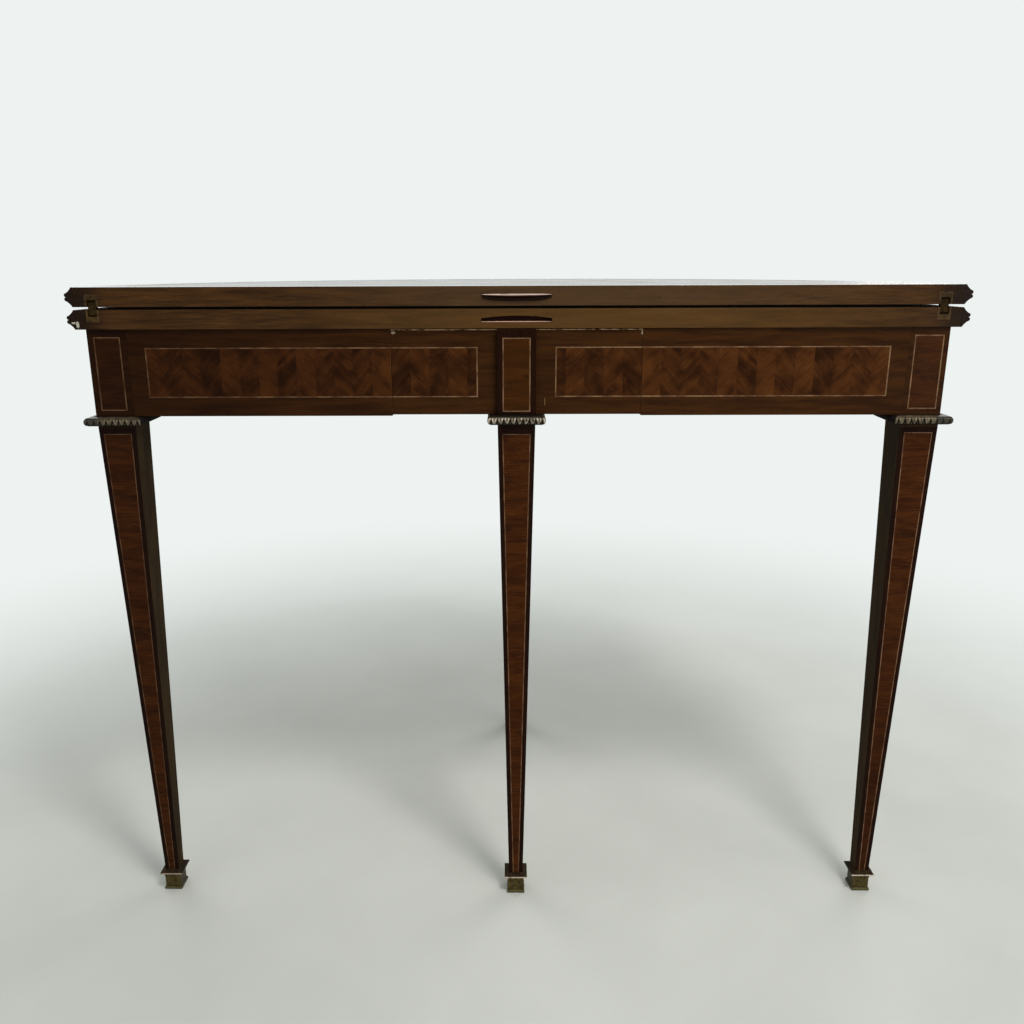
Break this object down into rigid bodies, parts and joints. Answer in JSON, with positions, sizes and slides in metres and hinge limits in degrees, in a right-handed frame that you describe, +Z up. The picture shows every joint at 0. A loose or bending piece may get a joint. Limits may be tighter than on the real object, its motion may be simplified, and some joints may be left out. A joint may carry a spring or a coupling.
{
  "type": "folding demi-lune card table",
  "caption": "Half-round fold-over card table with square tapered legs, centre-link leaf hinges and a pull-out middle leg that carries the opened leaf.",
  "frame": {"origin": "on the floor, under the middle of the folded table's bounding box", "axes": "+X along the straight hinged side, +Y towards the curved side, +Z up"},
  "size_m": [0.98, 0.5045, 0.77],
  "materials": {
    "veneered_mahogany": "figured reddish veneer on a solid core, french polished, worn",
    "dark_moulding": "dark stained hardwood moulding, polished",
    "carcase_wood": "bare, dry secondary timber",
    "baize": "napped woollen cloth",
    "brass": "dull brass with brown tarnish",
    "aged_bronze": "cast bronze, grey brown patina"
  },
  "bodies": {
    "frame": {"lower_leaf": "veneered_mahogany", "lower_leaf_lipping": "dark_moulding", "lower_playing_cloth": "baize", "left_lower_hinge_plate": "brass", "right_lower_hinge_plate": "brass", "lower_hinge_pins": "brass", "left_straight_rail": "veneered_mahogany", "right_straight_rail": "veneered_mahogany", "left_curved_rail": "veneered_mahogany", "right_curved_rail": "veneered_mahogany", "left_leg": "veneered_mahogany", "right_leg": "veneered_mahogany", "back_leg": "veneered_mahogany", "left_collar": "aged_bronze", "right_collar": "aged_bronze", "back_collar": "aged_bronze", "left_shoe": "aged_bronze", "right_shoe": "aged_bronze", "back_shoe": "aged_bronze", "left_runner": "carcase_wood", "right_runner": "carcase_wood", "left_kicker": "carcase_wood", "right_kicker": "carcase_wood", "cross_rail": "carcase_wood", "slide_rest_stops": "carcase_wood", "travel_stop": "carcase_wood", "corner_blocks": "carcase_wood", "glue_blocks": "carcase_wood"},
    "hinge_links": {"left_hinge_link": "brass", "right_hinge_link": "brass"},
    "folding_leaf": {"upper_leaf": "veneered_mahogany", "upper_leaf_lipping": "dark_moulding", "upper_playing_cloth": "baize", "alignment_tongue": "dark_moulding", "left_upper_hinge_plate": "brass", "right_upper_hinge_plate": "brass", "upper_hinge_pins": "brass"},
    "slide": {"sliding_leg": "veneered_mahogany", "sliding_collar": "aged_bronze", "sliding_shoe": "aged_bronze", "left_slide_wing": "veneered_mahogany", "right_slide_wing": "veneered_mahogany", "left_slide_side": "carcase_wood", "right_slide_side": "carcase_wood", "slide_back": "carcase_wood", "slide_bottom": "carcase_wood"}
  },
  "joints": [
    {"name": "link_turn", "type": "hinge", "parent": "frame", "child": "hinge_links", "pos_m": [0, -0.2339, 0.7435], "axis": [1, 0, 0], "range_deg": [0, 90]},
    {"name": "leaf_turn", "type": "hinge", "parent": "hinge_links", "child": "folding_leaf", "pos_m": [0, -0.2339, 0.7515], "axis": [1, 0, 0], "range_deg": [0, 90]},
    {"name": "leg_slide", "type": "slide", "parent": "frame", "child": "slide", "axis": [0, -1, 0], "range_m": [0, 0.27]}
  ]
}
